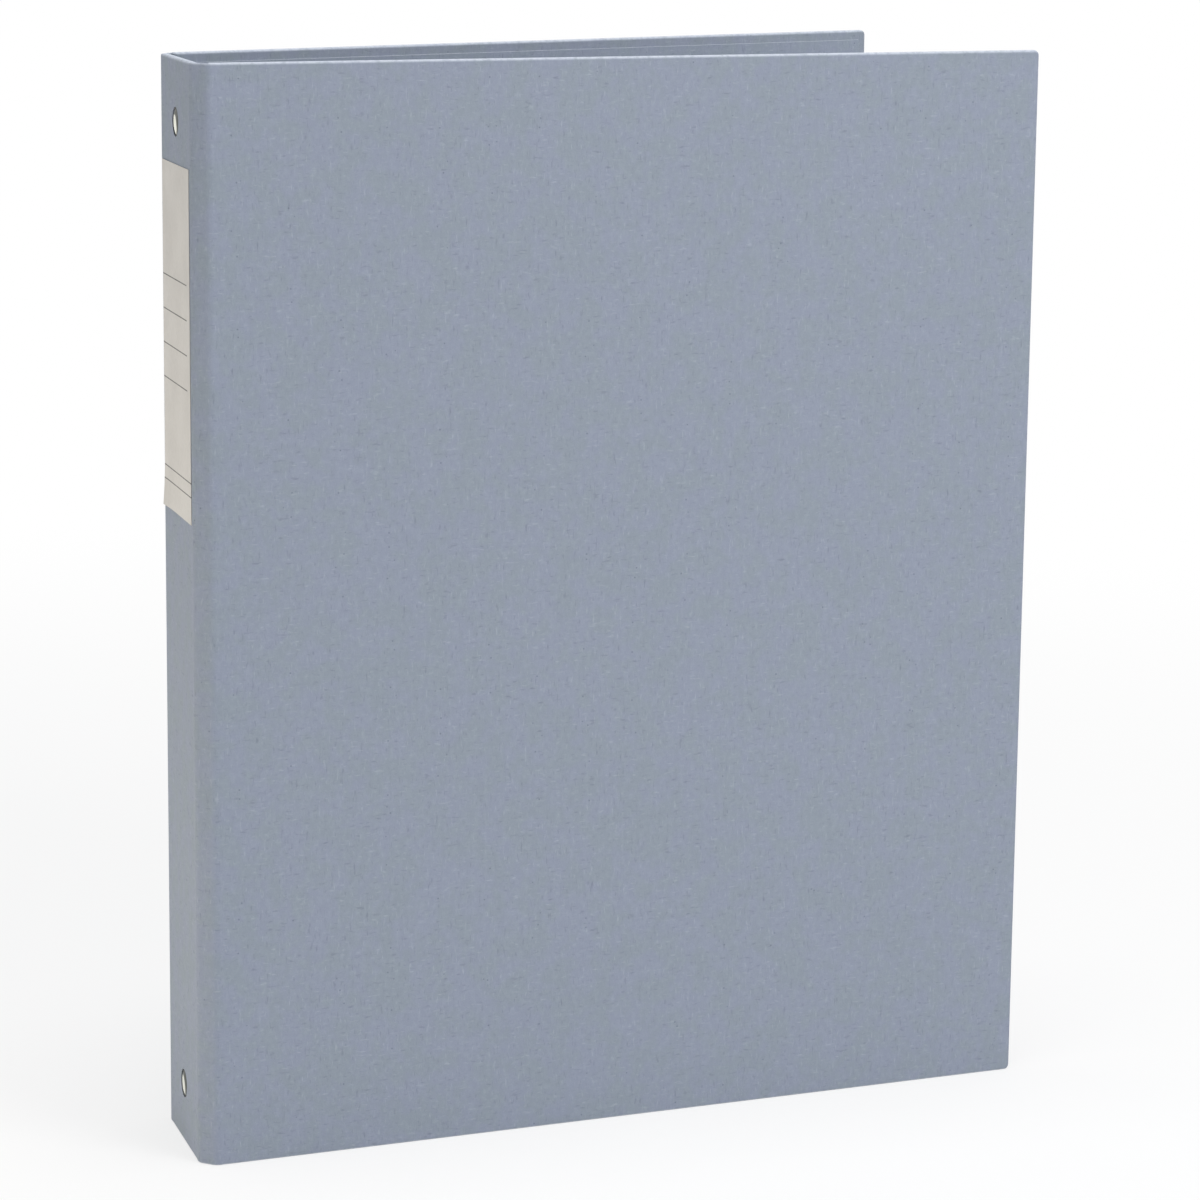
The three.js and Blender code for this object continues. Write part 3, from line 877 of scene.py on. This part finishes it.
def sheet_grid(name, rows, keep=lambda middle: True):
    """A pressed sheet from rows of points, without the faces for whose middle keep is false."""
    verts = [point for row in rows for point in row]
    faces = []
    for face in loft_faces(len(rows), len(rows[0]), False):
        if keep(sum((verts[i] for i in face), Vector()) / 4):
            faces.append(face)
    mesh = bpy.data.meshes.new(name)
    mesh.from_pydata([tuple(v) for v in verts], [], faces)
    return mesh


def housing_profile():
    """From one rolled lip over the arch to the other."""
    right = [(HOUSING_HALF - LIP_REACH, 0)]
    for turn in arc_steps(LIP_STEPS):
        x = HOUSING_HALF - LIP_CORNER * (1 - math.sin(turn))
        right.append((x, LIP_CORNER * (1 - math.cos(turn))))
    right.append((HOUSING_HALF, HOUSING_SIDE))
    arch = [(x, arch_level(x)) for x in arch_columns()]
    return [(-x, y) for x, y in right] + arch + right[::-1]


def in_window(middle):
    """Whether a place on the arch lies in a slot that a ring comes through."""
    across = WINDOW_INNER < abs(middle.x) < WINDOW_OUTER and middle.y > MECHANISM_BASE + HOUSING_SIDE
    return across and any(abs(middle.z - z) < WINDOW_HALF for z in RING_PLACES)


def channel_mesh():
    """The arch with its lips and slots, between the ramps."""
    start = HOUSING_MARGIN + PAD_LENGTH + RAMP_LENGTH
    edges = [z + way * WINDOW_HALF for z in RING_PLACES for way in (-1, 1)]
    levels = sorted([start, HEIGHT - start] + edges)
    rows = [[Vector((x, MECHANISM_BASE + y, z)) for x, y in housing_profile()] for z in levels]
    return sheet_grid("channel", rows, lambda middle: not in_window(middle))


def pad_mesh(top):
    """The arch runs down over a ramp into the flat pad, which ends in a half round."""
    arch = [(x, arch_level(x)) for x in arch_columns()]
    shape = [(-HOUSING_HALF, SHEET_STEEL)] + arch + [(HOUSING_HALF, SHEET_STEEL)]
    rows = []
    for step in range(RAMP_STEPS + 1):
        t = step / RAMP_STEPS
        ease = t * t * (3 - 2 * t)
        level = HOUSING_MARGIN + PAD_LENGTH + (1 - t) * (RAMP_LENGTH + RAMP_OVERLAP)
        scale = 1 + ease * (PAD_HALF / HOUSING_HALF - 1)
        rows.append([(x * scale, y + ease * (SHEET_STEEL - y), level) for x, y in shape])
    for turn in arc_steps(PAD_STEPS):
        reach = max(PAD_HALF * math.cos(turn), SMALLEST_PAD_ROW)
        level = HOUSING_MARGIN + PAD_HALF * (1 - math.sin(turn))
        rows.append([(x / HOUSING_HALF * reach, SHEET_STEEL, level) for x, _ in shape])
    grid = []
    for row in rows:
        grid.append([Vector((x, MECHANISM_BASE + y, HEIGHT - z if top else z)) for x, y, z in row])
    return sheet_grid("pad", grid)


def islands(sheet):
    """The faces of each separate sheet."""
    left = set(sheet.faces)
    found = []
    while left:
        queue = [left.pop()]
        group = list(queue)
        while queue:
            for edge in queue.pop().edges:
                for face in edge.link_faces:
                    if face in left:
                        left.remove(face)
                        queue.append(face)
                        group.append(face)
        found.append(group)
    return found


def face_outwards(sheet):
    """Turns the faces of each separate sheet away from the spine."""
    for island in islands(sheet):
        bmesh.ops.recalc_face_normals(sheet, faces=island)
        top = max(island, key=lambda face: face.calc_center_median().y)
        if top.normal.y < 0:
            bmesh.ops.reverse_faces(sheet, faces=island)


def housing():
    """The channel and both pads, pressed from sheet steel that is thickened inwards."""
    sheet = bmesh.new()
    for mesh in (channel_mesh(), pad_mesh(False), pad_mesh(True)):
        sheet.from_mesh(mesh)
    for face in sheet.faces:
        face.smooth = True
    face_outwards(sheet)
    mesh = bpy.data.meshes.new("housing_sheet")
    sheet.to_mesh(mesh)
    sheet.free()
    mesh.materials.append(NICKEL)
    piece = placed("housing_sheet", mesh)
    thick = piece.modifiers.new("thickness", "SOLIDIFY")
    thick.thickness = SHEET_STEEL
    thick.offset = -1
    thick.use_even_offset = True
    apply_modifiers(piece)
    sharpened(piece, STEEL_SHARP)
    attach(piece, "spine", "nickel", "ring_housing")


def half_ring_path():
    """From the tongue at the tip, round the circle, and square down onto the blade."""
    centre = Vector((0, RING_CENTRE))
    start = math.pi / 2 + math.asin(TIP_LAP / RING_RADIUS)
    points = []
    for step in range(RING_STEPS + 1):
        turn = start + (RING_LEAVE - start) * step / RING_STEPS
        points.append(centre + RING_RADIUS * Vector((math.cos(turn), math.sin(turn))))
    leave = points[-1]
    up = Vector((-math.sin(BLADE_SLOPE), math.cos(BLADE_SLOPE)))
    foot = PIVOT - Vector((up.y, -up.x)) * TAIL_REACH + up * (BLADE_HALF + SEAT_GAP)
    heading = Vector((math.sin(RING_LEAVE), -math.cos(RING_LEAVE)))
    knee = meet(foot, up, leave, heading)
    return points + [soft_corner(leave, knee, foot, step / KNEE_STEPS) for step in range(1, KNEE_STEPS + 1)]


def lap_cutter(side):
    """The block that cuts the step at a half ring's tip, so that two tips lap over each other."""
    top = RING_CENTRE + RING_RADIUS
    reach = 2 * WIRE_RADIUS
    low, high = sorted((-side * reach, side * (TIP_LAP + TIP_GAP)))
    corners = ((low, -reach), (high, -reach), (high, reach), (low, reach))
    depths = sorted((side * TIP_GAP / 2, -side * reach))
    return loft("cutter", [[Vector((x, top + y, z)) for x, y in corners] for z in depths], NICKEL)


def half_ring(name, side):
    """Wire bent along the half ring's path, with a step cut at its tip."""
    path = [Vector((side * point.x, point.y)) for point in half_ring_path()]
    loops = []
    for point, ahead in zip(path, headings(path)):
        across = Vector((-ahead.y, ahead.x)).normalized()
        loop = []
        for k in range(WIRE_SIDES):
            turn = 2 * math.pi * k / WIRE_SIDES
            flat = point + across * WIRE_RADIUS * math.cos(turn)
            loop.append(Vector((flat.x, flat.y, WIRE_RADIUS * math.sin(turn))))
        loops.append(loop)
    piece = loft(name, loops, NICKEL)
    carve(piece, lap_cutter(side))
    return piece


def rings():
    """Four half rings on each blade, all copies of one."""
    for name, side in (("front", 1), ("back", -1)):
        pattern = half_ring(f"{name}_ring", side)
        for i, z in enumerate(RING_PLACES):
            mesh = pattern.data.copy()
            mesh.transform(Matrix.Translation((0, 0, z)))
            piece = sharpened(placed(f"{name}_half_ring_{i + 1}", mesh), STEEL_SHARP)
            attach(piece, f"{name}_jaw", "nickel", f"{name}_ring_{i + 1}")
        bpy.data.objects.remove(pattern)


def rivets():
    """Domed heads in the spine's face, and the rolled ends on the pads."""
    pad = MECHANISM_BASE + SHEET_STEEL
    profile = []
    for section, base in ((HEAD_SECTION, SPINE_FACE), (ROLLED_SECTION, pad), (BORE_SECTION, SPINE_FACE)):
        profile += [(radius * MM, base + depth * MM) for radius, depth in section]
    for name, z in zip(("bottom", "top"), RIVET_PLACES):
        loops = [circle(radius, y, z, RIVET_SIDES) for radius, y in profile]
        piece = sharpened(loft(f"rivet_{name}_turned", loops, RIVET), ROUNDED_SHARP)
        attach(piece, "spine", "rivet", f"rivet_{name}")


def dress_kept_nodes():
    """The boards and blades keep their solids and get their finish."""
    finishes = {BOARD: ("front_board", "spine_board", "back_board"), STEEL: ("front_blade", "back_blade")}
    for finish, names in finishes.items():
        for name in names:
            for material_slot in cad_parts[name].material_slots:
                material_slot.link = "OBJECT"
                material_slot.material = finish


# Stage
def floor_material():
    """A pale matt floor that looks whiter and whiter away from the binder and keeps its shadow."""
    material = bpy.data.materials.new("pale_floor")
    material.use_nodes = True
    tree = Tree(material.node_tree)
    tree.nodes.clear()
    matte = tree.add("ShaderNodeBsdfDiffuse")
    tree.feed(matte.inputs["Color"], FLOOR_COLOR)
    glow = tree.add("ShaderNodeEmission")
    tree.feed(glow.inputs["Strength"], 1.0)
    distance = tree.add("ShaderNodeVectorMath", operation="LENGTH")
    tree.feed(distance.inputs[0], tree.add("ShaderNodeTexCoord").outputs["Object"])
    fade = tree.ramp(distance.outputs["Value"], GLOW_NEAR, GLOW_FAR, GLOW_LEAST, 1.0)
    share = tree.math("MULTIPLY", tree.direct_rays(), fade)
    out = tree.add("ShaderNodeOutputMaterial")
    tree.blend_shaders(share, matte.outputs["BSDF"], glow.outputs["Emission"], out)
    return material


def pale_floor():
    mesh = bpy.data.meshes.new("floor")
    corners = [(x * FLOOR_REACH, y * FLOOR_REACH, 0) for x, y in ((-1, -1), (1, -1), (1, 1), (-1, 1))]
    mesh.from_pydata(corners, [], [(0, 1, 2, 3)])
    mesh.materials.append(floor_material())
    floor = placed("floor", mesh)


def world_light():
    """Soft light from all round, shown as plain white where it is looked at."""
    world = bpy.data.worlds.new("studio")
    bpy.context.scene.world = world
    world.use_nodes = True
    tree = Tree(world.node_tree)
    tree.nodes.clear()
    ambient = tree.add("ShaderNodeBackground")
    tree.feed(ambient.inputs["Color"], AMBIENT_COLOR)
    tree.feed(ambient.inputs["Strength"], AMBIENT_STRENGTH)
    shown = tree.add("ShaderNodeBackground")
    tree.feed(shown.inputs["Color"], WHITE)
    tree.feed(shown.inputs["Strength"], 1.0)
    out = tree.add("ShaderNodeOutputWorld")
    tree.blend_shaders(tree.direct_rays(), ambient.outputs["Background"], shown.outputs["Background"], out)


def lamp(name, kind, place, power):
    """A lamp that isn't seen itself."""
    data = bpy.data.lights.new(name, kind)
    data.energy = power
    made = placed(name, data)
    made.location = place
    made.visible_camera = False
    return made


def area_light(name, place, aim, size, power):
    made = lamp(name, "AREA", place, power)
    made.data.size = size
    made.rotation_euler = (Vector(aim) - Vector(place)).to_track_quat("-Z", "Y").to_euler()


def point_light(name, place, radius, power, color):
    made = lamp(name, "POINT", place, power)
    made.data.shadow_soft_size = radius
    made.data.color = color


def camera():
    """The photo's view, from the front cover's side, a little round towards the spine and from above."""
    forward = Vector((
        math.sin(CAMERA_YAW) * math.cos(CAMERA_PITCH),
        math.cos(CAMERA_YAW) * math.cos(CAMERA_PITCH),
        -math.sin(CAMERA_PITCH),
    ))
    level = Vector((math.cos(CAMERA_YAW), -math.sin(CAMERA_YAW), 0))
    up = level.cross(forward)
    right = level * math.cos(CAMERA_ROLL) + up * math.sin(CAMERA_ROLL)
    top = up * math.cos(CAMERA_ROLL) - level * math.sin(CAMERA_ROLL)
    data = bpy.data.cameras.new("camera")
    data.sensor_width = SENSOR_WIDTH
    data.lens = CAMERA_LENS
    data.clip_start = NEAREST_SEEN
    eye = placed("camera", data)
    turned = Matrix((right, top, -forward)).transposed().to_4x4()
    eye.matrix_world = Matrix.Translation(CAMERA_PLACE) @ turned
    bpy.context.scene.camera = eye


camera()
covers()
label()
housing()
rings()
rivets()
dress_kept_nodes()
pale_floor()
world_light()
area_light("key", place=(0.75, 0.6, 0.8), aim=(0, 0.2, 0.26), size=0.5, power=3.9)
area_light("overhead", place=(0.1, 0.12, 1.6), aim=(0, 0.12, 0.2), size=0.7, power=11)
point_light("spine_fill", place=(0.0, -0.27, 0.03), radius=0.07, power=1.0, color=FILL_COLOR)
bpy.context.scene.view_settings.view_transform = "Standard"
